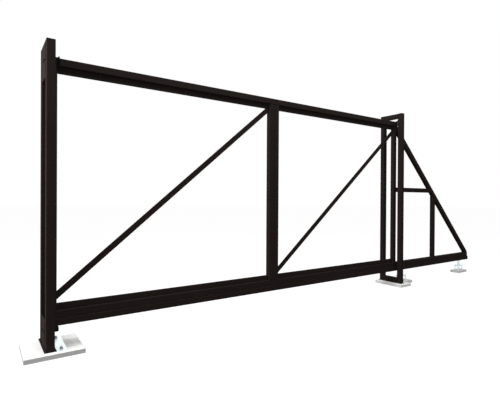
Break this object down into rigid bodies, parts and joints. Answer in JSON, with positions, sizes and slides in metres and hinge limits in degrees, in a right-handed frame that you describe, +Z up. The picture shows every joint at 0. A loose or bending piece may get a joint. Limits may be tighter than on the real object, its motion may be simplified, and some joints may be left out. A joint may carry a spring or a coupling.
{
  "type": "cantilever sliding driveway gate",
  "caption": "Unclad cantilever sliding driveway gate in dark brown steel, closed between a receiving portal and a guide portal, on roller carriages.",
  "frame": {"origin": "on the ground under the guide portal's centre, in the leaf's mid-plane: the underside of the guide slab", "axes": "+X along the drive line, the way the leaf opens; +Y towards the property, so the street side is -Y; +Z up"},
  "size_m": [6.248, 0.4, 2.286],
  "materials": {
    "brown_steel": "satin",
    "black_steel": "satin",
    "galvanised": "satin",
    "concrete": "matte",
    "nylon": "matte",
    "dark_nylon": "matte",
    "cap_plastic": "matte"
  },
  "bodies": {
    "posts": {"front_carriage_base": "galvanised", "front_carriage_bogie": "galvanised", "front_carriage_studs": "galvanised", "front_carriage_wheels": "nylon", "guide_foot_bar": "brown_steel", "guide_foot_plate": "brown_steel", "guide_front_upright": "brown_steel", "guide_head_bar": "brown_steel", "guide_post_caps": "cap_plastic", "guide_rear_upright": "brown_steel", "guide_slab": "concrete", "lower_catcher": "black_steel", "receiver_foot_plate": "brown_steel", "receiver_front_upright": "brown_steel", "receiver_low_panel": "brown_steel", "receiver_post_caps": "cap_plastic", "receiver_rear_upright": "brown_steel", "receiver_slab": "concrete", "receiver_strap": "galvanised", "receiver_strap_studs": "galvanised", "receiver_top_panel": "brown_steel", "tail_carriage_base": "galvanised", "tail_carriage_bogie": "galvanised", "tail_carriage_studs": "galvanised", "tail_carriage_wheels": "nylon", "tail_slab": "concrete", "top_guide_front_bracket": "brown_steel", "top_guide_front_roller": "dark_nylon", "top_guide_rear_bracket": "brown_steel", "top_guide_rear_roller": "dark_nylon", "upper_catcher": "black_steel"},
    "leaf": {"top_chord": "brown_steel", "bottom_chord": "brown_steel", "leading_stile": "brown_steel", "mid_stile_front": "brown_steel", "mid_stile_rear": "brown_steel", "rear_stile": "brown_steel", "upper_bands": "brown_steel", "lower_bands": "brown_steel", "front_bay_brace": "brown_steel", "rear_bay_brace": "brown_steel", "tail_brace": "brown_steel", "tail_post": "brown_steel", "tail_rail": "brown_steel", "running_rail": "brown_steel", "tube_end_caps": "cap_plastic", "end_roller_fork": "brown_steel", "end_roller": "nylon"}
  },
  "joints": [
    {"name": "gate_slide", "type": "slide", "parent": "posts", "child": "leaf", "axis": [1, 0, 0], "range_m": [0, 4.12]}
  ]
}
